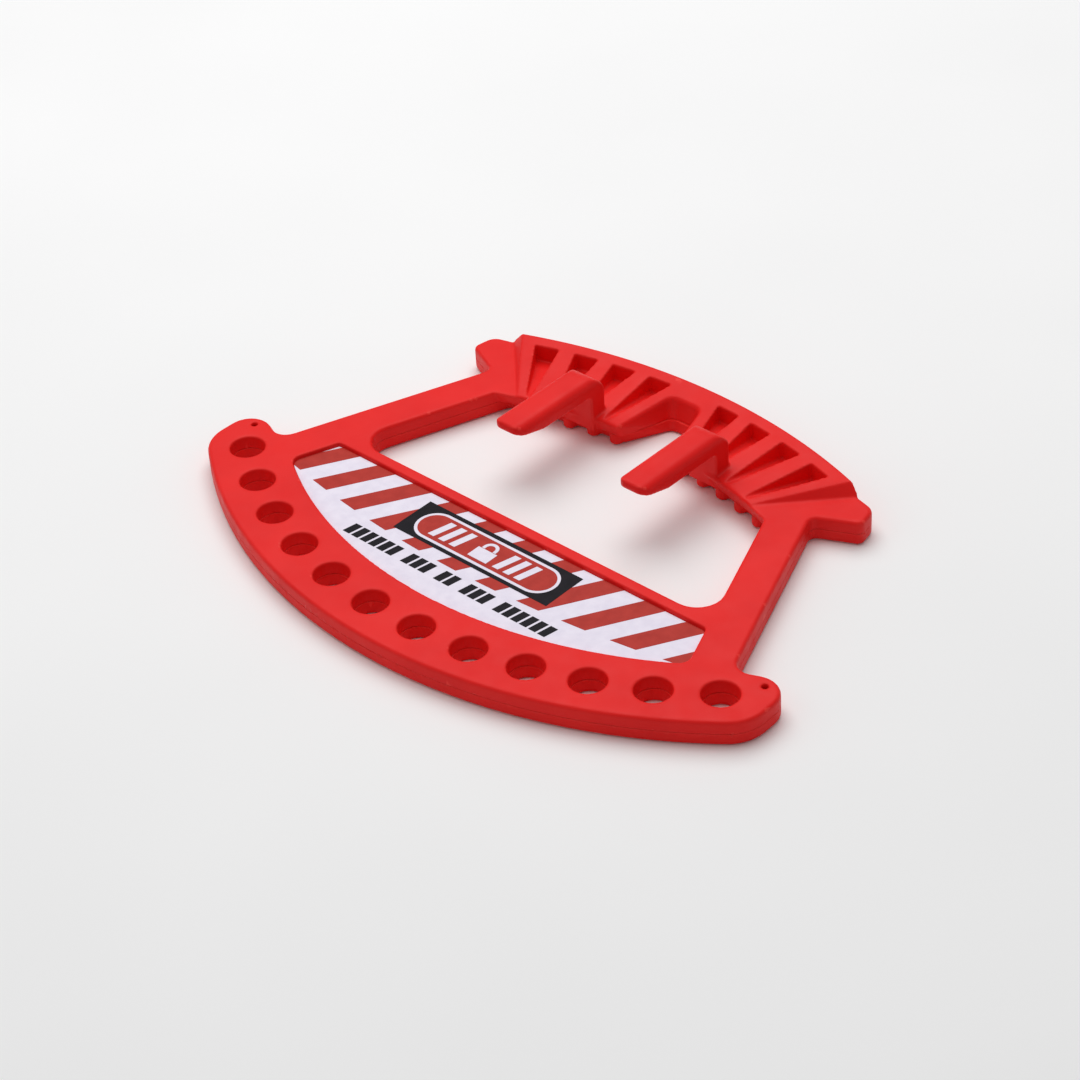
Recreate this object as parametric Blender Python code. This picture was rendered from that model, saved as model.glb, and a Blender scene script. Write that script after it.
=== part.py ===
"""Portable carrier for lockout padlocks: a curved bar with twelve shackle holes, a handle and two hooks.

Two moulded half shells meet at mid height and are held by self-tapping screws driven in from the rear.
A printed label lies in a shallow recess beside the holes.

Drawing sizes are millimetres from the datum: x = 0 on the symmetry plane, y = 0 where the arc of the
hole centres comes furthest forward, z = 0 on the rear face. part_point() moves the datum to the middle
of the depth and changes to metres.
"""

import math

import bmesh
import bpy

MM = 0.001

# Plate: two shells with a visible seam between them
PLATE = 9.0
SEAM_Z = 4.5
SEAM_GAP = 0.3
EDGE_CHAMFER = 0.8

# Padlock bar: holes on an arc, with the front edge and the label recess concentric to it
HOLE_COUNT = 12
HOLE_RADIUS = 6.0
REAR_HOLE_RADIUS = 5.2
HOLE_CHAMFER = 0.3
HOLE_PITCH = 20.0
HOLE_ARC_RADIUS = 172.5
FRONT_MARGIN = 13.3
FRONT_ARC_END = math.radians(36.5)
FRONT_ARC_STEPS = 18
EAR_CORNERS = ((118.0, 28.9, 14.0), (117.6, 52.7, 8.0), (98.6, 44.6, 5.0))
EAR_HOLE = (110.8, 44.6)
EAR_HOLE_RADIUS = 1.15

# Label and its recess
RECESS_DEPTH = 2.2
RECESS_BACK_Y = 55.0
RECESS_MARGIN = 13.2
RECESS_CORNER_X = 86.2
RECESS_CORNER_RADIUS = 4.0
RECESS_BACK_X = 79.8
RECESS_BACK_RADIUS = 1.5
LABEL_THICKNESS = 0.4
FIT_GAP = 0.3

# Hand opening and arms: the arms lean inwards by ARM_LEAN for each mm of depth
OPENING_FRONT_Y = 59.65
OPENING_CORNER_RADIUS = 8.5
ARM_INNER_X = 100.5
ARM_LEAN = 0.38

# Handle: its rim, top surface and inner wall are concentric arcs
RIM_RADIUS = 210.0
RIM_APEX_Y = 151.1
RIM_CENTRE_Y = RIM_APEX_Y - RIM_RADIUS
RIM_STEP = math.radians(1.0)
RIM_STEPS_EACH_SIDE = 21
RIM_HEIGHT = 4.4
TOP_SLOPE = 0.128
LOBE_CORNERS = ((70.0, 119.2, 3.0), (85.2, 126.2, 2.5), (83.6, 135.0, 5.0))
BLOCK_END_FOOT = ((76.3, 137.6), (56.5, 117.5))
BLOCK_END_RAMP = 0.78
BLOCK_REACH = 6.0
BLOCK_ROOT = 3.0
WALL_TOP_RADIUS = 178.0
WALL_FOOT_RADIUS = 182.0
WALL_CORNER_RADIUS = 1.5
WALL_ANGLES = tuple(math.radians(angle) for angle in (17.0, 14.0, 11.0, 8.0, 5.5))

# Notch in the middle of the handle, narrower at the rear face than at the top: (x, y) of mouth and end
NOTCH_TOP = ((11.2, 119.0), (6.4, 141.4))
NOTCH_FOOT = ((12.0, 122.5), (3.9, 138.2))
NOTCH_END_RADIUS = 3.5
NOTCH_MOUTH_RADIUS = 1.2

# Wedge pockets in the handle's top, four on each side
POCKET_COUNT = 4
POCKET_TIP_X = 17.6
POCKET_TIP_PITCH = 10.0
POCKET_TIP_RADIUS = 179.4
POCKET_TIP_WIDTH = 1.5
POCKET_TIP_DEPTH = 0.35
POCKET_BACK_X = 14.95
POCKET_BACK_PITCH = 14.9
POCKET_BACK_RADIUS = 205.0
POCKET_BACK_WIDTH = 9.1
POCKET_FLOOR_Z = PLATE - 2.6

# Grip knobs along the foot of the handle's inner wall, five on each side
KNOB_COUNT = 5
KNOB_RADIUS = 2.5
KNOB_ARC_RADIUS = 181.6
KNOB_FIRST_X = 14.8
KNOB_PITCH_X = 9.4

# Hooks that hang the carrier on a rail or a box edge
HOOK_X = 27.0
HOOK_WIDTH = 12.2
HOOK_TOP_Z = PLATE + 15.4
HOOK_UNDERSIDE_Z = PLATE + 9.2
HOOK_TIP_Y = 81.4
HOOK_TIP_UNDERSIDE_Z = PLATE + 12.2
HOOK_TAPER_Y = 93.5
HOOK_POST_FRONT_Y = 117.2
HOOK_POST_BACK_Y = 124.3
HOOK_BACK_RADIUS = 8.0
HOOK_POST_RADIUS = 1.5
HOOK_TIP_RADIUS = 4.0
HOOK_NOSE_RADIUS = 1.0
HOOK_TAPER_RADIUS = 5.0
HOOK_INNER_RADIUS = 1.5
HOOK_EDGE_RADIUS = 3.2

# Self-tapping screws from the rear
SCREW_HEAD_RADIUS = 2.5
SCREW_HEAD_HEIGHT = 1.6
SCREW_HEAD_CHAMFER = 0.3
SCREW_HEAD_Z = 0.4
SCREW_CREST_RADIUS = 1.4
SCREW_ROOT_RADIUS = 1.05
SCREW_THREAD_COUNT = 4
SCREW_THREAD_PITCH = 0.8
SCREW_TIP_LENGTH = 0.8
SCREW_SLOT_WIDTH = 0.7
SCREW_SLOT_LENGTH = 2.8
SCREW_SLOT_DEPTH = 0.9
BAR_SCREW_INSET = 6.5
BAR_SCREW_WEBS = (1, 4)
ARM_SCREW = (75.7, 85.0)
LOBE_SCREW = (76.6, 129.6)
RIM_SCREW = (0.0, 145.4)

# Fineness of curves, and how far cutters go past what they cut
CORNER_STEPS = 7
CIRCLE_STEPS = 32
SMALL_CIRCLE_STEPS = 20
OVERSHOOT = 5.0
ABOVE_ALL = HOOK_TOP_Z + OVERSHOOT
BELOW_ALL = -OVERSHOOT

Y_MIDDLE = (RIM_APEX_Y - FRONT_MARGIN) / 2
SMOOTH_ANGLE = math.radians(35.0)

# name: (base colour, roughness, metallic)
MATERIALS = {
    "red_polymer": ((0.72, 0.03, 0.025), 0.42, 0.0),
    "printed_label": ((0.86, 0.84, 0.88), 0.35, 0.0),
    "zinc_steel": ((0.55, 0.56, 0.58), 0.35, 1.0),
}


def part_point(x, y, z):
    """A drawing point in the part's own frame, in metres."""
    return (x * MM, (y - Y_MIDDLE) * MM, z * MM)


def arc(centre_y, radius, angles, towards):
    """Points on a circle about (0, centre_y), at angles from its back (towards = 1) or front (-1)."""
    return [(radius * math.sin(a), centre_y + towards * radius * math.cos(a)) for a in angles]


def circle(x, y, radius, steps):
    angles = (2 * math.pi * step / steps for step in range(steps))
    return [(x + radius * math.cos(a), y + radius * math.sin(a)) for a in angles]


def mirrored(half):
    """A closed, anticlockwise list of corners from its right half, which runs from front to back."""
    left = [(-corner[0], *corner[1:]) for corner in reversed(half) if corner[0] > 0]
    return half + left


def sharp(points):
    return [(x, y, 0.0) for x, y in points]


def rounded(corners):
    """An outline in which each (x, y, radius) corner is an arc, and one of radius 0 stays a point."""
    points = []
    for index, (x, y, radius) in enumerate(corners):
        if radius == 0:
            points.append((x, y))
            continue
        before = corners[index - 1]
        after = corners[(index + 1) % len(corners)]
        angle_in = math.atan2(before[1] - y, before[0] - x)
        angle_out = math.atan2(after[1] - y, after[0] - x)
        opening = (angle_out - angle_in + math.pi) % (2 * math.pi) - math.pi
        middle = angle_in + opening / 2
        reach = radius / math.sin(abs(opening) / 2)
        centre_x = x + reach * math.cos(middle)
        centre_y = y + reach * math.sin(middle)
        turn = math.copysign(math.pi - abs(opening), opening)
        first = middle + math.pi + turn / 2
        for step in range(CORNER_STEPS + 1):
            angle = first - turn * step / CORNER_STEPS
            points.append((centre_x + radius * math.cos(angle), centre_y + radius * math.sin(angle)))
    return points


def inset(outline, distance):
    """An anticlockwise outline moved inwards by a distance, or outwards by a negative one."""
    moved = []
    for index, (x, y) in enumerate(outline):
        x0, y0 = outline[index - 1]
        x1, y1 = outline[(index + 1) % len(outline)]
        before = math.atan2(y - y0, x - x0)
        after = math.atan2(y1 - y, x1 - x)
        half_turn = ((after - before + math.pi) % (2 * math.pi) - math.pi) / 2
        normal = before + half_turn + math.pi / 2
        length = distance / math.cos(half_turn)
        moved.append((x + length * math.cos(normal), y + length * math.sin(normal)))
    return moved


def line_meets_circle(point, other, centre_y, radius):
    """Where the line through two points meets the back of a circle about (0, centre_y)."""
    slope = (other[0] - point[0]) / (other[1] - point[1])
    offset = point[0] + slope * (centre_y - point[1])
    a = 1 + slope * slope
    b = 2 * slope * offset
    c = offset * offset - radius * radius
    rise = (-b + math.sqrt(b * b - 4 * a * c)) / (2 * a)
    return (offset + slope * rise, centre_y + rise)


def top_z(x, y):
    """Height of the labelled side: the plate's face, and over the handle a cone that rises to the rim."""
    from_rim = RIM_RADIUS - math.hypot(x, y - RIM_CENTRE_Y)
    return PLATE + max(0.0, RIM_HEIGHT - TOP_SLOPE * from_rim)


def solid(name, layers, place=lambda u, v, w: (u, v, w)):
    """A closed solid through layers (outline, height); a height may be a function of the point."""
    mesh = bmesh.new()
    rings = []
    for outline, height in layers:
        heights = [height(u, v) if callable(height) else height for u, v in outline]
        points = [place(u, v, w) for (u, v), w in zip(outline, heights)]
        rings.append([mesh.verts.new(part_point(*point)) for point in points])
    mesh.faces.new(reversed(rings[0]))
    mesh.faces.new(rings[-1])
    for low, high in zip(rings, rings[1:]):
        for index in range(len(low)):
            mesh.faces.new((low[index - 1], low[index], high[index], high[index - 1]))
    bmesh.ops.recalc_face_normals(mesh, faces=mesh.faces)
    data = bpy.data.meshes.new(name)
    mesh.to_mesh(data)
    mesh.free()
    piece = bpy.data.objects.new(name, data)
    bpy.context.scene.collection.objects.link(piece)
    return piece


def lathe(name, x, y, profile, steps):
    """A round solid on a vertical axis, from (radius, z) points listed upwards."""
    return solid(name, [(circle(x, y, radius, steps), z) for radius, z in profile])


def along_x(u, v, w):
    return (w, u, v)


def along_y(u, v, w):
    return (u, w, v)


def combine(target, operation, tools):
    """Applies one exact Boolean for each tool, and removes the tools."""
    for tool in tools:
        modifier = target.modifiers.new(operation, "BOOLEAN")
        modifier.operation = operation
        modifier.solver = "EXACT"
        modifier.object = tool
    graph = bpy.context.evaluated_depsgraph_get()
    result = bpy.data.meshes.new_from_object(target.evaluated_get(graph))
    target.modifiers.clear()
    target.data = result
    for tool in tools:
        bpy.data.objects.remove(tool)
    return target


def plate_outline():
    angles = [FRONT_ARC_END * step / FRONT_ARC_STEPS for step in range(FRONT_ARC_STEPS + 1)]
    front = arc(HOLE_ARC_RADIUS, HOLE_ARC_RADIUS + FRONT_MARGIN, angles, -1)
    rim_angles = [RIM_STEP * step for step in range(RIM_STEPS_EACH_SIDE, -1, -1)]
    rim = arc(RIM_CENTRE_Y, RIM_RADIUS, rim_angles, 1)
    return rounded(mirrored(sharp(front) + list(EAR_CORNERS) + list(LOBE_CORNERS) + sharp(rim)))


def opening_outline(wall_radius, notch):
    """Hand opening and notch in one outline."""
    front_corner = (ARM_INNER_X - ARM_LEAN * OPENING_FRONT_Y, OPENING_FRONT_Y)
    arm_foot = (ARM_INNER_X, 0.0)
    back_corner = line_meets_circle(arm_foot, front_corner, RIM_CENTRE_Y, wall_radius)
    wall = arc(RIM_CENTRE_Y, wall_radius, WALL_ANGLES, 1)
    mouth = line_meets_circle(notch[0], notch[1], RIM_CENTRE_Y, wall_radius)
    half = [(*front_corner, OPENING_CORNER_RADIUS), (*back_corner, WALL_CORNER_RADIUS), *sharp(wall)]
    half += [(*mouth, NOTCH_MOUTH_RADIUS), (*notch[1], NOTCH_END_RADIUS)]
    return rounded(mirrored(half))


def opening_cutter():
    foot = opening_outline(WALL_FOOT_RADIUS, NOTCH_FOOT)
    top = opening_outline(WALL_TOP_RADIUS, NOTCH_TOP)
    wide_foot = inset(foot, -EDGE_CHAMFER)
    wide_top = inset(top, -EDGE_CHAMFER)
    layers = [(wide_foot, BELOW_ALL), (wide_foot, 0.0), (foot, EDGE_CHAMFER)]
    layers += [(top, lambda x, y: top_z(x, y) - EDGE_CHAMFER), (wide_top, top_z), (wide_top, ABOVE_ALL)]
    return solid("opening_cutter", layers)


def on_hole_arc(angle, inwards=0.0):
    radius = HOLE_ARC_RADIUS - inwards
    return (radius * math.sin(angle), HOLE_ARC_RADIUS - radius * math.cos(angle))


def hole_cutters():
    """Cutters for the shackle holes, which narrow towards the rear face."""
    wide_rear = REAR_HOLE_RADIUS + HOLE_CHAMFER
    wide_front = HOLE_RADIUS + HOLE_CHAMFER
    profile = [(wide_rear, BELOW_ALL), (wide_rear, 0.0), (REAR_HOLE_RADIUS, HOLE_CHAMFER)]
    profile += [(HOLE_RADIUS, PLATE - HOLE_CHAMFER), (wide_front, PLATE), (wide_front, ABOVE_ALL)]
    cutters = []
    for index in range(HOLE_COUNT):
        x, y = on_hole_arc((index - (HOLE_COUNT - 1) / 2) * HOLE_PITCH / HOLE_ARC_RADIUS)
        cutters.append(lathe("hole_cutter", x, y, profile, CIRCLE_STEPS))
    return cutters


def screw_places():
    """Name and position of each screw."""
    places = {"screw_rim": RIM_SCREW}
    for side, sign in (("left", -1), ("right", 1)):
        places[f"screw_ear_{side}"] = (sign * EAR_HOLE[0], EAR_HOLE[1])
        places[f"screw_arm_{side}"] = (sign * ARM_SCREW[0], ARM_SCREW[1])
        places[f"screw_lobe_{side}"] = (sign * LOBE_SCREW[0], LOBE_SCREW[1])
        for web in BAR_SCREW_WEBS:
            angle = sign * web * HOLE_PITCH / HOLE_ARC_RADIUS
            places[f"screw_bar_{side}_{web}"] = on_hole_arc(angle, BAR_SCREW_INSET)
    return places


def screw_shoulder_z():
    return SCREW_HEAD_Z + SCREW_HEAD_HEIGHT


def screw_tip_z():
    return screw_shoulder_z() + SCREW_THREAD_COUNT * SCREW_THREAD_PITCH + SCREW_TIP_LENGTH


def screw_cutters():
    """Counterbore and pilot hole of each screw."""
    seat = screw_shoulder_z() + FIT_GAP
    wide = SCREW_HEAD_RADIUS + FIT_GAP
    narrow = SCREW_CREST_RADIUS + FIT_GAP
    profile = [(wide, BELOW_ALL), (wide, seat), (narrow, seat), (narrow, screw_tip_z() + FIT_GAP)]
    places = screw_places().values()
    return [lathe("screw_cutter", x, y, profile, SMALL_CIRCLE_STEPS) for x, y in places]


def screw(name, x, y):
    profile = [(SCREW_HEAD_RADIUS - SCREW_HEAD_CHAMFER, SCREW_HEAD_Z)]
    profile.append((SCREW_HEAD_RADIUS, SCREW_HEAD_Z + SCREW_HEAD_CHAMFER))
    profile += [(SCREW_HEAD_RADIUS, screw_shoulder_z()), (SCREW_ROOT_RADIUS, screw_shoulder_z())]
    for turn in range(SCREW_THREAD_COUNT):
        start = screw_shoulder_z() + turn * SCREW_THREAD_PITCH
        profile.append((SCREW_ROOT_RADIUS, start + SCREW_THREAD_PITCH / 4))
        profile.append((SCREW_CREST_RADIUS, start + SCREW_THREAD_PITCH / 2))
        profile.append((SCREW_ROOT_RADIUS, start + SCREW_THREAD_PITCH))
    profile.append((SCREW_ROOT_RADIUS / 3, screw_tip_z()))
    body = lathe(name, x, y, profile, SMALL_CIRCLE_STEPS)
    slots = []
    slot_sides = (SCREW_SLOT_LENGTH, SCREW_SLOT_WIDTH)
    for reach_x, reach_y in (slot_sides, reversed(slot_sides)):
        right = x + reach_x / 2
        left = x - reach_x / 2
        back = y + reach_y / 2
        front = y - reach_y / 2
        outline = [(left, front), (right, front), (right, back), (left, back)]
        layers = [(outline, BELOW_ALL), (outline, SCREW_HEAD_Z + SCREW_SLOT_DEPTH)]
        slots.append(solid("slot_cutter", layers))
    return combine(body, "DIFFERENCE", slots)


def handle_block():
    """The raised part of the handle: its section turned about the rim's centre, with ramped ends."""
    foot_z = PLATE - BLOCK_ROOT
    inner_radius = WALL_TOP_RADIUS - BLOCK_REACH
    edge = RIM_RADIUS - EDGE_CHAMFER
    rim_z = PLATE + RIM_HEIGHT
    inner_z = rim_z - TOP_SLOPE * (RIM_RADIUS - inner_radius)
    section = [(inner_radius, foot_z), (RIM_RADIUS, foot_z), (RIM_RADIUS, rim_z - EDGE_CHAMFER)]
    section += [(edge, rim_z - TOP_SLOPE * EDGE_CHAMFER), (inner_radius, inner_z)]
    layers = []
    for step in range(-RIM_STEPS_EACH_SIDE, RIM_STEPS_EACH_SIDE + 1):
        layers.append((section, RIM_STEP * step))

    def turned(radius, z, angle):
        return (radius * math.sin(angle), RIM_CENTRE_Y + radius * math.cos(angle), z)

    return solid("handle_block", layers, turned)


def block_end_cutter(sign):
    """Everything beyond the ramp at one end of the handle block."""
    (back_x, back_y), (front_x, front_y) = BLOCK_END_FOOT
    length = math.hypot(back_x - front_x, back_y - front_y)
    along = ((back_x - front_x) / length, (back_y - front_y) / length)
    rise = ABOVE_ALL - PLATE
    section = [(0.0, PLATE), (length, PLATE), (length, ABOVE_ALL), (-BLOCK_END_RAMP * rise, ABOVE_ALL)]

    def placed(outwards, z, forwards):
        x = front_x + along[0] * forwards + along[1] * outwards
        y = front_y + along[1] * forwards - along[0] * outwards
        return (sign * x, y, z)

    return solid("block_end_cutter", [(section, -length), (section, 2 * length)], placed)


def pocket_cutter(sign, index):
    back_x = POCKET_BACK_X + index * POCKET_BACK_PITCH
    tip_x = POCKET_TIP_X + index * POCKET_TIP_PITCH
    back_angle = math.asin(back_x / POCKET_BACK_RADIUS)
    tip_angle = math.asin(tip_x / POCKET_TIP_RADIUS)
    back_half = POCKET_BACK_WIDTH / 2 / POCKET_BACK_RADIUS
    tip_half = POCKET_TIP_WIDTH / 2 / POCKET_TIP_RADIUS
    back = arc(RIM_CENTRE_Y, POCKET_BACK_RADIUS, (back_angle - back_half, back_angle + back_half), 1)
    tip = arc(RIM_CENTRE_Y, POCKET_TIP_RADIUS, (tip_angle + tip_half, tip_angle - tip_half), 1)
    outline = [(sign * x, y) for x, y in back + tip]
    middle_radius = (POCKET_TIP_RADIUS + POCKET_BACK_RADIUS) / 2

    def floor_z(x, y):
        at_back = math.hypot(x, y - RIM_CENTRE_Y) > middle_radius
        return POCKET_FLOOR_Z if at_back else top_z(x, y) - POCKET_TIP_DEPTH

    return solid("pocket_cutter", [(outline, floor_z), (outline, ABOVE_ALL)])


def recess_outline():
    radius = HOLE_ARC_RADIUS - RECESS_MARGIN
    end = math.asin(RECESS_CORNER_X / radius)
    angles = [end * step / FRONT_ARC_STEPS for step in range(FRONT_ARC_STEPS)]
    front = arc(HOLE_ARC_RADIUS, radius, angles, -1)
    corner = arc(HOLE_ARC_RADIUS, radius, (end,), -1)[0]
    ends = [(*corner, RECESS_CORNER_RADIUS), (RECESS_BACK_X, RECESS_BACK_Y, RECESS_BACK_RADIUS)]
    return rounded(mirrored(sharp(front) + ends))


def hook(sign):
    """One hook: its side, plan and end views intersected."""
    foot_z = SEAM_Z + SEAM_GAP / 2
    side = [(HOOK_POST_BACK_Y, foot_z, 0.0), (HOOK_POST_BACK_Y, HOOK_TOP_Z, HOOK_BACK_RADIUS)]
    side += [(HOOK_TIP_Y, HOOK_TOP_Z, HOOK_NOSE_RADIUS)]
    side += [(HOOK_TIP_Y, HOOK_TIP_UNDERSIDE_Z, HOOK_NOSE_RADIUS)]
    side += [(HOOK_TAPER_Y, HOOK_UNDERSIDE_Z, HOOK_TAPER_RADIUS)]
    side += [(HOOK_POST_FRONT_Y, HOOK_UNDERSIDE_Z, HOOK_INNER_RADIUS), (HOOK_POST_FRONT_Y, foot_z, 0.0)]
    left = sign * HOOK_X - HOOK_WIDTH / 2
    right = sign * HOOK_X + HOOK_WIDTH / 2
    side_layers = [(rounded(side), left - OVERSHOOT), (rounded(side), right + OVERSHOOT)]
    body = solid("hook", side_layers, along_x)
    plan = [(left, HOOK_TIP_Y, HOOK_TIP_RADIUS), (right, HOOK_TIP_Y, HOOK_TIP_RADIUS)]
    plan += [(right, HOOK_POST_BACK_Y, HOOK_POST_RADIUS), (left, HOOK_POST_BACK_Y, HOOK_POST_RADIUS)]
    plan_tool = solid("plan_tool", [(rounded(plan), BELOW_ALL), (rounded(plan), ABOVE_ALL)])
    end = [(left, BELOW_ALL, 0.0), (right, BELOW_ALL, 0.0)]
    end += [(right, HOOK_TOP_Z, HOOK_EDGE_RADIUS), (left, HOOK_TOP_Z, HOOK_EDGE_RADIUS)]
    end_layers = [(rounded(end), HOOK_TIP_Y - OVERSHOOT), (rounded(end), HOOK_POST_BACK_Y + OVERSHOOT)]
    end_tool = solid("end_tool", end_layers, along_y)
    return combine(body, "INTERSECT", [plan_tool, end_tool])


def knob(sign, index):
    """A half-round knob that stands out of the inner wall's lower half."""
    high_z = SEAM_Z - SEAM_GAP / 2
    angle = math.asin((KNOB_FIRST_X + index * KNOB_PITCH_X) / KNOB_ARC_RADIUS)
    ((x, y),) = arc(RIM_CENTRE_Y, KNOB_ARC_RADIUS, (angle,), 1)
    narrow = KNOB_RADIUS - EDGE_CHAMFER
    profile = [(narrow, 0.0), (KNOB_RADIUS, EDGE_CHAMFER)]
    profile += [(KNOB_RADIUS, high_z - EDGE_CHAMFER), (narrow, high_z)]
    return lathe("knob", sign * x, y, profile, SMALL_CIRCLE_STEPS)


def front_shell():
    outline = plate_outline()
    layers = [(outline, SEAM_Z + SEAM_GAP / 2), (outline, PLATE - EDGE_CHAMFER)]
    layers.append((inset(outline, EDGE_CHAMFER), PLATE))
    shell = solid("front_shell", layers)
    block = combine(handle_block(), "DIFFERENCE", [block_end_cutter(-1), block_end_cutter(1)])
    combine(shell, "UNION", [block])
    openings = [pocket_cutter(sign, index) for sign in (-1, 1) for index in range(POCKET_COUNT)]
    combine(shell, "DIFFERENCE", [opening_cutter()] + openings)
    combine(shell, "UNION", [hook(-1), hook(1)])
    cutters = hole_cutters() + screw_cutters()
    recess = recess_outline()
    cutters.append(solid("recess_cutter", [(recess, PLATE - RECESS_DEPTH), (recess, ABOVE_ALL)]))
    for sign in (-1, 1):
        profile = [(EAR_HOLE_RADIUS, SEAM_Z), (EAR_HOLE_RADIUS, ABOVE_ALL)]
        x, y = sign * EAR_HOLE[0], EAR_HOLE[1]
        cutters.append(lathe("ear_hole_cutter", x, y, profile, SMALL_CIRCLE_STEPS))
    return combine(shell, "DIFFERENCE", cutters)


def rear_shell():
    outline = plate_outline()
    layers = [(inset(outline, EDGE_CHAMFER), 0.0), (outline, EDGE_CHAMFER)]
    layers.append((outline, SEAM_Z - SEAM_GAP / 2))
    shell = solid("rear_shell", layers)
    combine(shell, "DIFFERENCE", [opening_cutter()])
    combine(shell, "UNION", [knob(sign, index) for sign in (-1, 1) for index in range(KNOB_COUNT)])
    return combine(shell, "DIFFERENCE", hole_cutters() + screw_cutters())


def front_label():
    outline = inset(recess_outline(), FIT_GAP)
    low_z = PLATE - RECESS_DEPTH + FIT_GAP
    return solid("front_label", [(outline, low_z), (outline, low_z + LABEL_THICKNESS)])


def finish(piece, material_name):
    """Gives a piece its material, and smooth shading except at its edges."""
    material = bpy.data.materials.get(material_name)
    if material is None:
        colour, roughness, metallic = MATERIALS[material_name]
        material = bpy.data.materials.new(material_name)
        material.use_nodes = True
        shader = material.node_tree.nodes["Principled BSDF"]
        shader.inputs["Base Color"].default_value = (*colour, 1.0)
        shader.inputs["Roughness"].default_value = roughness
        shader.inputs["Metallic"].default_value = metallic
    piece.data.materials.clear()
    piece.data.materials.append(material)
    piece.data.shade_smooth()
    piece.data.set_sharp_from_angle(angle=SMOOTH_ANGLE)


def main():
    for old in list(bpy.data.objects):
        bpy.data.objects.remove(old)
    finish(front_shell(), "red_polymer")
    finish(rear_shell(), "red_polymer")
    finish(front_label(), "printed_label")
    for name, (x, y) in screw_places().items():
        finish(screw(name, x, y), "zinc_steel")


main()
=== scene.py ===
"""Looks of the lockout padlock carrier: soft moulded edges, the printed label, and studio light.

Sizes are millimetres in the part's frame: x = 0 on the symmetry plane, y = 0 midway from the front edge
of the padlock bar to the back of the handle, z = 0 on the rear face. Lights are in metres and watts.
"""

import math

import bmesh
import bpy
from mathutils import Matrix, Vector

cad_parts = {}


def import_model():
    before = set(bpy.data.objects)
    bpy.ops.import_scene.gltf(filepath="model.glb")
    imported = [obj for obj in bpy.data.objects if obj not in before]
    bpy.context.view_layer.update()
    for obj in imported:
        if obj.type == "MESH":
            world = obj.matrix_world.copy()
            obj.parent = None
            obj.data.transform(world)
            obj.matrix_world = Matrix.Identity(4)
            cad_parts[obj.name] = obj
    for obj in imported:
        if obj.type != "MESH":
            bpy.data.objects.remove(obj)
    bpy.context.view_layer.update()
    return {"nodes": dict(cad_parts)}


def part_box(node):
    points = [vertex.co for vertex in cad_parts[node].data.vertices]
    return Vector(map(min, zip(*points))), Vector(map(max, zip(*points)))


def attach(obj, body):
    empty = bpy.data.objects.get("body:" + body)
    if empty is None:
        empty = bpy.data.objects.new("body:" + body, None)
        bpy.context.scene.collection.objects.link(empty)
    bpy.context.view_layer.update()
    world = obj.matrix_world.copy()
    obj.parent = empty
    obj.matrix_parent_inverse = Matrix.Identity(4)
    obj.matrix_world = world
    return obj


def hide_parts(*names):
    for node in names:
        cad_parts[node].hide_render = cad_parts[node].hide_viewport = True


MM = 0.001
BODY = "root"

# Heights closer than TOUCHING are the same height, and FAR is past every piece
TOUCHING = 0.01
FAR = 1000.0

# The two shells are softened copies of their CAD solids, cut to a crisp parting line
VOXEL = 0.4
SOFTENING_STEPS = 9
SOFTENING = 0.5
KEPT_FACES = 0.35
SEAM_GAP = 0.12
SEAM_SPARE = 1.5

# Printed label: stripes start a little behind its back edge, and its top face is in its top layer
LABEL_BACK_Y = -13.8
LABEL_SPARE = 1.0
LABEL_TOP_LAYER = 0.1
INK_THICKNESS = 0.06
INK_SUNK = 0.02

# Hazard stripes: they lean to the right, and their feet follow the label's arc
STRIPE_PITCH = 16.71
STRIPE_WIDTH = 8.4
STRIPE_FIRST_X = -77.49
STRIPE_COUNT = 11
STRIPE_LEAN = 0.588
STRIPE_FOOT_Y = -39.6
STRIPE_FOOT_SAG = 0.00118
STRIPE_FOOT_ROUNDS = 4

# Black plate with a round-ended pill on it
PLATE_HALF_WIDTH = 33.3
PLATE_Y = (-35.2, -17.9)
PILL_HALF_LENGTH = 29.5
PILL_RADIUS = 7.0
PILL_LINE = 1.1
PILL_Y = -26.7
PILL_END_STEPS = 24

# Row of plain bars under the plate
MARK_ROW_Y = (-46.8, -41.4)
MARK_GROUPS = (6, 3, 2, 3, 6)
MARK_WIDTH = 2.9
MARK_PITCH = 3.8
MARK_GROUP_GAP = 3.2
MARK_LEAN = 0.18

# Pictogram on the pill: a padlock between bars, with heights from the middle of the pill
LOCK_HALF_WIDTH = 4.0
LOCK_BODY_LOW = -4.6
LOCK_BODY_HIGH = 0.8
SHACKLE_RADIUS = 2.9
SHACKLE_INNER_RADIUS = 1.7
SHACKLE_FOOT = 1.0
SHACKLE_ARCH = 1.9
SHACKLE_STEPS = 16
SIDE_BARS = 3
SIDE_BAR_X = 9.5
SIDE_BAR_PITCH = 4.6
SIDE_BAR_WIDTH = 2.6
SIDE_BAR_SHIFT = 0.9
SIDE_BAR_HALF_HEIGHT = 4.4
SIDE_BAR_LEAN = 0.25

# The usual range of a noise, and the range of pointiness over which an edge turns from plain to the
# pale of a painted highlight
NOISE_RANGE = (0.35, 0.65)
EDGE_RANGE = (0.515, 0.56)

# Studio
FLOOR_HALF_WIDTH = 6000.0
FLOOR_TOP_Z = -0.05
FLOOR_UNDERSIDE_Z = -20.0
KEY_PLACE = (-0.40, 0.34, 1.20)
KEY_POWER = 14.5
KEY_SIZE = 1.3
FILL_PLACE = (-0.7, -0.9, 0.7)
FILL_POWER = 1.2
FILL_SIZE = 1.0
WORLD_STRENGTH = 0.33

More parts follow.
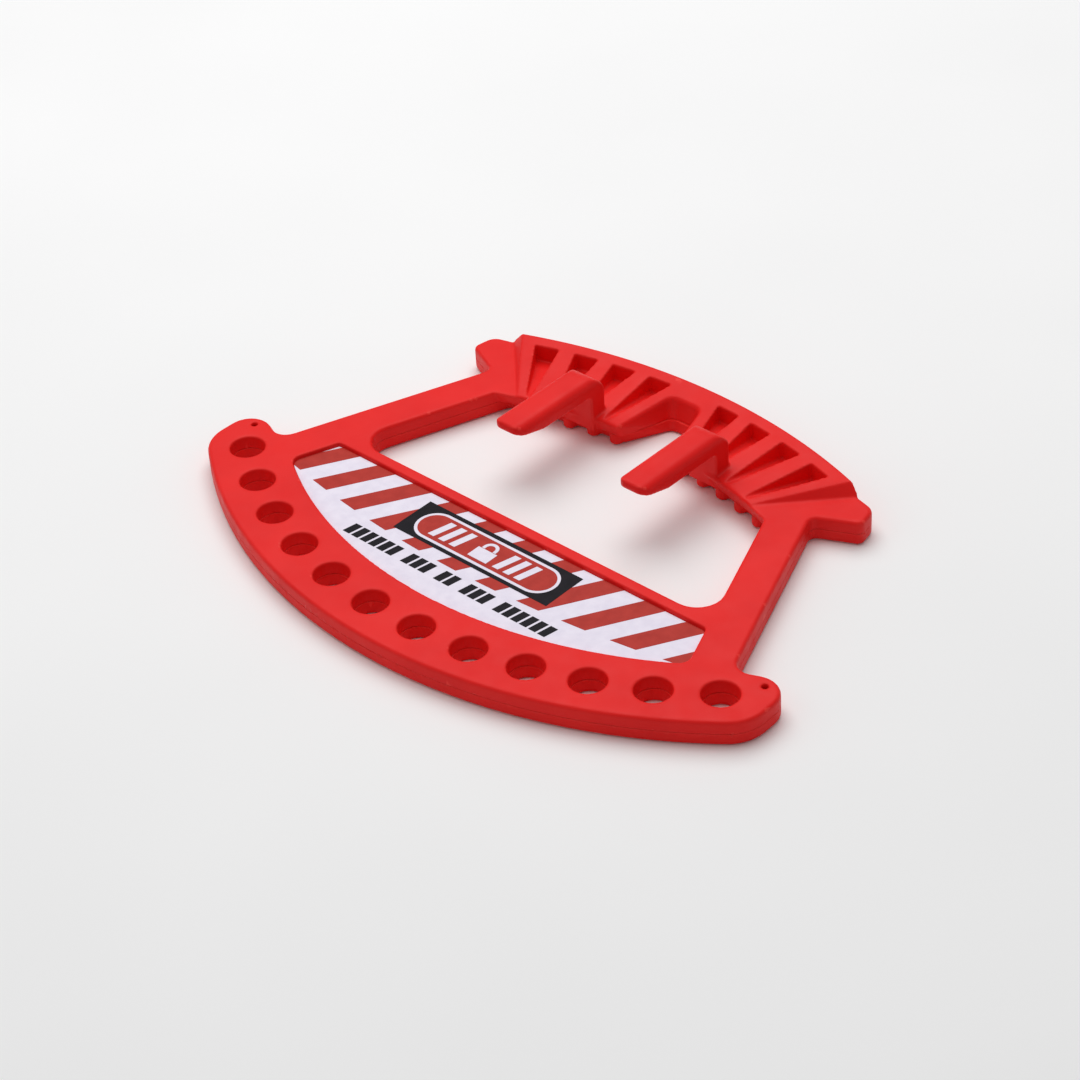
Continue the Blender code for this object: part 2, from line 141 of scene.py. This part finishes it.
# Camera
FOCAL_LENGTH = 90.23
SENSOR = 36.0
CAMERA_PLACE = (494.08, -502.87, 525.72)
CAMERA_RIGHT = (0.73851, 0.67210, -0.05369)
CAMERA_UP = (-0.37274, 0.47334, 0.79813)
CAMERA_BACK = (0.56184, -0.56942, 0.60009)


def shader_of(material):
    return material.node_tree.nodes["Principled BSDF"]


def new_material(name, roughness, metallic=0.0):
    material = bpy.data.materials.new(name)
    material.use_nodes = True
    shader = shader_of(material)
    shader.inputs["Roughness"].default_value = roughness
    shader.inputs["Metallic"].default_value = metallic
    return material


def spread_range(material, value, from_range, low=0.0, high=1.0):
    """A value mapped from one range to another."""
    spread = material.node_tree.nodes.new("ShaderNodeMapRange")
    spread.inputs["From Min"].default_value = from_range[0]
    spread.inputs["From Max"].default_value = from_range[1]
    spread.inputs["To Min"].default_value = low
    spread.inputs["To Max"].default_value = high
    material.node_tree.links.new(value, spread.inputs["Value"])
    return spread.outputs["Result"]


def noise(material, scale, detail, low=0.0, high=1.0):
    """A noise in the part's own metres, between about low and high."""
    nodes = material.node_tree.nodes
    place = nodes.new("ShaderNodeTexCoord")
    texture = nodes.new("ShaderNodeTexNoise")
    texture.inputs["Scale"].default_value = scale
    texture.inputs["Detail"].default_value = detail
    material.node_tree.links.new(place.outputs["Object"], texture.inputs["Vector"])
    return spread_range(material, texture.outputs["Fac"], NOISE_RANGE, low, high)


def painted_edge_highlight(material):
    """0 on flat surfaces, rising to 1 on outer edges: the mask of a painted highlight."""
    geometry = material.node_tree.nodes.new("ShaderNodeNewGeometry")
    return spread_range(material, geometry.outputs["Pointiness"], EDGE_RANGE)


def mixed(material, factor, first, second):
    """A colour between two, each a colour (red, green, blue) or another node's output."""
    mix = material.node_tree.nodes.new("ShaderNodeMix")
    mix.data_type = "RGBA"
    for socket, value in (("Factor", factor), ("A", first), ("B", second)):
        matching = next(entry for entry in mix.inputs if entry.name == socket and entry.enabled)
        if isinstance(value, bpy.types.NodeSocket):
            material.node_tree.links.new(value, matching)
        else:
            matching.default_value = (*value, 1)
    return next(entry for entry in mix.outputs if entry.enabled)


def paint(material, colour):
    material.node_tree.links.new(colour, shader_of(material).inputs["Base Color"])


def roughen(material, roughness):
    material.node_tree.links.new(roughness, shader_of(material).inputs["Roughness"])


def bumpy(material, height, strength, depth):
    bump = material.node_tree.nodes.new("ShaderNodeBump")
    bump.inputs["Strength"].default_value = strength
    bump.inputs["Distance"].default_value = depth * MM
    material.node_tree.links.new(height, bump.inputs["Height"])
    material.node_tree.links.new(bump.outputs["Normal"], shader_of(material).inputs["Normal"])


def moulded_plastic():
    """Satin red nylon: fine spark-eroded grain, faint flow marks, and a painted highlight that makes
    outer edges paler.
    """
    material = new_material("red_nylon", roughness=0.42)
    shader_of(material).inputs["Specular IOR Level"].default_value = 0.16
    flow_marks = noise(material, scale=45, detail=3)
    base = mixed(material, flow_marks, (0.78, 0.010, 0.009), (0.84, 0.014, 0.012))
    # Outer edges are painted paler here: a painted highlight along the rims, not wear.
    paint(material, mixed(material, painted_edge_highlight(material), base, (0.88, 0.040, 0.033)))
    roughen(material, noise(material, scale=120, detail=4, low=0.40, high=0.52))
    bumpy(material, noise(material, scale=1800, detail=3), strength=0.25, depth=0.05)
    return material


def print_ink(name, colour, darker):
    """Laminated print: a trace of mottling under a slightly glossy film."""
    material = new_material(name, roughness=0.36)
    shader_of(material).inputs["Specular IOR Level"].default_value = 0.06
    paint(material, mixed(material, noise(material, scale=260, detail=4), darker, colour))
    roughen(material, noise(material, scale=90, detail=3, low=0.32, high=0.44))
    bumpy(material, noise(material, scale=700, detail=2), strength=0.12, depth=0.03)
    return material


def zinc_plate():
    """Zinc-plated steel with a faint cloudy finish."""
    material = new_material("zinc_plate", roughness=0.34, metallic=1.0)
    clouds = noise(material, scale=500, detail=4)
    paint(material, mixed(material, clouds, (0.50, 0.51, 0.54), (0.66, 0.66, 0.67)))
    roughen(material, noise(material, scale=900, detail=3, low=0.28, high=0.46))
    bumpy(material, noise(material, scale=2500, detail=2), strength=0.15, depth=0.02)
    return material


def floor_paper():
    """Pale matte paper with hardly any tone in it."""
    material = new_material("floor_paper", roughness=0.9)
    tone = noise(material, scale=6, detail=2)
    paint(material, mixed(material, tone, (0.90, 0.90, 0.90), (0.92, 0.92, 0.92)))
    return material


def dress(piece, material):
    piece.data.materials.clear()
    piece.data.materials.append(material)


def apply_modifiers(piece):
    graph = bpy.context.evaluated_depsgraph_get()
    mesh = bpy.data.meshes.new_from_object(piece.evaluated_get(graph))
    piece.modifiers.clear()
    piece.data = mesh


def copy_of(node, name):
    piece = bpy.data.objects.new(name, node.data.copy())
    bpy.context.scene.collection.objects.link(piece)
    return piece


def rectangle(x_low, x_high, y_low, y_high):
    return [(x_low, y_low), (x_high, y_low), (x_high, y_high), (x_low, y_high)]


def prism(name, outlines, low_z, high_z):
    """Closed flat solids over outlines listed anticlockwise."""
    mesh = bmesh.new()
    for outline in outlines:
        low = [mesh.verts.new((x * MM, y * MM, low_z * MM)) for x, y in outline]
        high = [mesh.verts.new((x * MM, y * MM, high_z * MM)) for x, y in outline]
        mesh.faces.new(reversed(low))
        mesh.faces.new(high)
        for index in range(len(low)):
            mesh.faces.new((low[index - 1], low[index], high[index], high[index - 1]))
    data = bpy.data.meshes.new(name)
    mesh.to_mesh(data)
    mesh.free()
    piece = bpy.data.objects.new(name, data)
    bpy.context.scene.collection.objects.link(piece)
    return piece


def combine(piece, operation, tool):
    modifier = piece.modifiers.new(operation, "BOOLEAN")
    modifier.operation = operation
    modifier.solver = "EXACT"
    modifier.object = tool
    apply_modifiers(piece)
    bpy.data.objects.remove(tool)


def softened(node, name, seam_z, cut_z, spare):
    """A copy of a CAD shell whose edges are rounded as a moulding's are.

    The shell's seam face goes past the parting line by the spare length before the rounding, and is
    cut off flat at cut_z afterwards, so that the edges of the parting line stay crisp.
    """
    piece = copy_of(node, name)
    for vertex in piece.data.vertices:
        if abs(vertex.co.z - seam_z * MM) < TOUCHING * MM:
            vertex.co.z += spare * MM
    remesh = piece.modifiers.new("remesh", "REMESH")
    remesh.mode = "VOXEL"
    remesh.voxel_size = VOXEL * MM
    smooth = piece.modifiers.new("smooth", "SMOOTH")
    smooth.factor = SOFTENING
    smooth.iterations = SOFTENING_STEPS
    thin = piece.modifiers.new("thin", "DECIMATE")
    thin.ratio = KEPT_FACES
    apply_modifiers(piece)
    low_z, high_z = sorted((cut_z, cut_z + math.copysign(FAR, spare)))
    combine(piece, "DIFFERENCE", prism("seam_cutter", [rectangle(-FAR, FAR, -FAR, FAR)], low_z, high_z))
    piece.data.shade_smooth()
    for face in piece.data.polygons:
        if abs(face.center.z - cut_z * MM) < TOUCHING * MM:
            face.use_smooth = False
    return piece


def moulded_shells(nodes):
    """The two shells, each cut half a gap away from the middle of the CAD shells' seam faces."""
    red = moulded_plastic()
    front_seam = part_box("front_shell")[0][2] / MM
    rear_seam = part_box("rear_shell")[1][2] / MM
    middle = (front_seam + rear_seam) / 2
    for name, seam_z, side in (("front_shell", front_seam, 1), ("rear_shell", rear_seam, -1)):
        cut_z = middle + side * SEAM_GAP / 2
        piece = softened(nodes[name], name + "_moulded", seam_z, cut_z, -side * SEAM_SPARE)
        dress(piece, red)
        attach(piece, BODY)
        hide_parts(name)


def leaning_bar(x, width, y_low, y_high, lean):
    """A parallelogram whose top edge starts at x."""
    shift = lean * (y_low - y_high)
    return [(x + shift, y_low), (x + width + shift, y_low), (x + width, y_high), (x, y_high)]


def stripe(x):
    """A leaning stripe from past the label's back edge down to the arc of the feet."""
    top = LABEL_BACK_Y + LABEL_SPARE
    corners = [(x + STRIPE_WIDTH, top), (x, top)]
    for start in (x, x + STRIPE_WIDTH):
        foot = STRIPE_FOOT_Y
        for _ in range(STRIPE_FOOT_ROUNDS):
            foot_x = start - STRIPE_LEAN * (top - foot)
            foot = STRIPE_FOOT_Y + STRIPE_FOOT_SAG * foot_x**2
        corners.append((foot_x, foot))
    return corners


def hazard_stripes():
    return [stripe(STRIPE_FIRST_X + index * STRIPE_PITCH) for index in range(STRIPE_COUNT)]


def pill(narrower):
    """The bar with round ends on the label's plate, narrower all round by a given amount."""
    radius = PILL_RADIUS - narrower
    half_length = PILL_HALF_LENGTH - narrower
    points = []
    for centre, first in ((half_length - radius, -math.pi / 2), (radius - half_length, math.pi / 2)):
        for step in range(PILL_END_STEPS + 1):
            angle = first + math.pi * step / PILL_END_STEPS
            points.append((centre + radius * math.cos(angle), PILL_Y + radius * math.sin(angle)))
    return points


def mark_row():
    """Plain leaning bars in groups, in place of a line of print."""
    bars = []
    width = sum(MARK_GROUPS) * MARK_PITCH + (len(MARK_GROUPS) - 1) * MARK_GROUP_GAP
    x = -width / 2 + (MARK_PITCH - MARK_WIDTH) / 2
    for group in MARK_GROUPS:
        for _ in range(group):
            bars.append(leaning_bar(x, MARK_WIDTH, *MARK_ROW_Y, MARK_LEAN))
            x += MARK_PITCH
        x += MARK_GROUP_GAP
    return bars


def shackle():
    """The padlock's bow: round outside, down its left leg, round inside and down its right leg."""
    foot = PILL_Y + SHACKLE_FOOT
    arch = PILL_Y + SHACKLE_ARCH
    outer, inner = SHACKLE_RADIUS, SHACKLE_INNER_RADIUS
    angles = [math.pi * step / SHACKLE_STEPS for step in range(SHACKLE_STEPS + 1)]
    points = [(outer, foot)]
    points += [(outer * math.cos(angle), arch + outer * math.sin(angle)) for angle in angles]
    points += [(-outer, foot), (-inner, foot)]
    points += [(-inner * math.cos(angle), arch + inner * math.sin(angle)) for angle in angles]
    points += [(inner, foot)]
    return points


def pictogram():
    """A plain padlock, shackle and body, with leaning bars to its left and right."""
    low, high = PILL_Y + LOCK_BODY_LOW, PILL_Y + LOCK_BODY_HIGH
    shapes = [rectangle(-LOCK_HALF_WIDTH, LOCK_HALF_WIDTH, low, high), shackle()]
    low, high = PILL_Y - SIDE_BAR_HALF_HEIGHT, PILL_Y + SIDE_BAR_HALF_HEIGHT
    for sign in (-1, 1):
        for index in range(SIDE_BARS):
            x = sign * (SIDE_BAR_X + index * SIDE_BAR_PITCH) - SIDE_BAR_SHIFT
            shapes.append(leaning_bar(x, SIDE_BAR_WIDTH, low, high, SIDE_BAR_LEAN))
    return shapes


def cut_to_label(piece, node, top_z):
    """Leave only what lies over the label's own outline."""
    outline = copy_of(node, "label_outline")
    for vertex in outline.data.vertices:
        vertex.co.z += MM if vertex.co.z > (top_z - LABEL_TOP_LAYER) * MM else -MM
    combine(piece, "INTERSECT", outline)


def print_label(node):
    """The label's inks, each layer a little above the one below."""
    top_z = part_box("front_label")[1][2] / MM
    brick = print_ink("ink_brick", (0.50, 0.048, 0.037), (0.44, 0.040, 0.031))
    black = print_ink("ink_black", (0.014, 0.012, 0.017), (0.009, 0.008, 0.011))
    white = print_ink("ink_white", (0.87, 0.82, 0.93), (0.81, 0.76, 0.88))
    layers = (
        ("print_stripes", hazard_stripes(), brick, 1),
        ("print_mark_row", mark_row(), black, 1),
        ("print_plate", [rectangle(-PLATE_HALF_WIDTH, PLATE_HALF_WIDTH, *PLATE_Y)], black, 2),
        ("print_pill_line", [pill(narrower=0.0)], white, 3),
        ("print_pill", [pill(narrower=PILL_LINE)], brick, 4),
        ("print_pictogram", pictogram(), white, 5),
    )
    for name, outlines, ink, coats in layers:
        piece = prism(name, outlines, top_z - INK_SUNK, top_z + coats * INK_THICKNESS)
        if name == "print_stripes":
            cut_to_label(piece, node, top_z)
        dress(piece, ink)
        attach(piece, BODY)
    dress(node, white)


def area_light(name, place, power, size):
    """A square light that points at the frame's origin."""
    data = bpy.data.lights.new(name, "AREA")
    data.energy = power
    data.size = size
    light = bpy.data.objects.new(name, data)
    light.location = place
    light.rotation_euler = (-Vector(place)).to_track_quat("-Z", "Y").to_euler()
    bpy.context.scene.collection.objects.link(light)


def studio():
    outline = rectangle(-FLOOR_HALF_WIDTH, FLOOR_HALF_WIDTH, -FLOOR_HALF_WIDTH, FLOOR_HALF_WIDTH)
    floor = prism("floor", [outline], FLOOR_UNDERSIDE_Z, FLOOR_TOP_Z)
    dress(floor, floor_paper())
    area_light("key", KEY_PLACE, KEY_POWER, KEY_SIZE)
    area_light("fill", FILL_PLACE, FILL_POWER, FILL_SIZE)
    world = bpy.data.worlds.new("studio")
    world.use_nodes = True
    background = world.node_tree.nodes["Background"]
    background.inputs["Color"].default_value = (1, 1, 1, 1)
    background.inputs["Strength"].default_value = WORLD_STRENGTH
    bpy.context.scene.world = world
    bpy.context.scene.view_settings.view_transform = "Standard"


def camera():
    data = bpy.data.cameras.new("camera")
    data.lens = FOCAL_LENGTH
    data.sensor_width = SENSOR
    view = bpy.data.objects.new("camera", data)
    axes = Matrix((CAMERA_RIGHT, CAMERA_UP, CAMERA_BACK)).transposed()
    place = [value * MM for value in CAMERA_PLACE]
    view.matrix_world = Matrix.Translation(place) @ axes.to_4x4()
    bpy.context.scene.collection.objects.link(view)
    bpy.context.scene.camera = view


def main():
    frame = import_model()
    nodes = frame["nodes"]
    moulded_shells(nodes)
    print_label(nodes["front_label"])
    zinc = zinc_plate()
    for name, node in nodes.items():
        if name.startswith("screw_"):
            dress(node, zinc)
    studio()
    camera()


main()
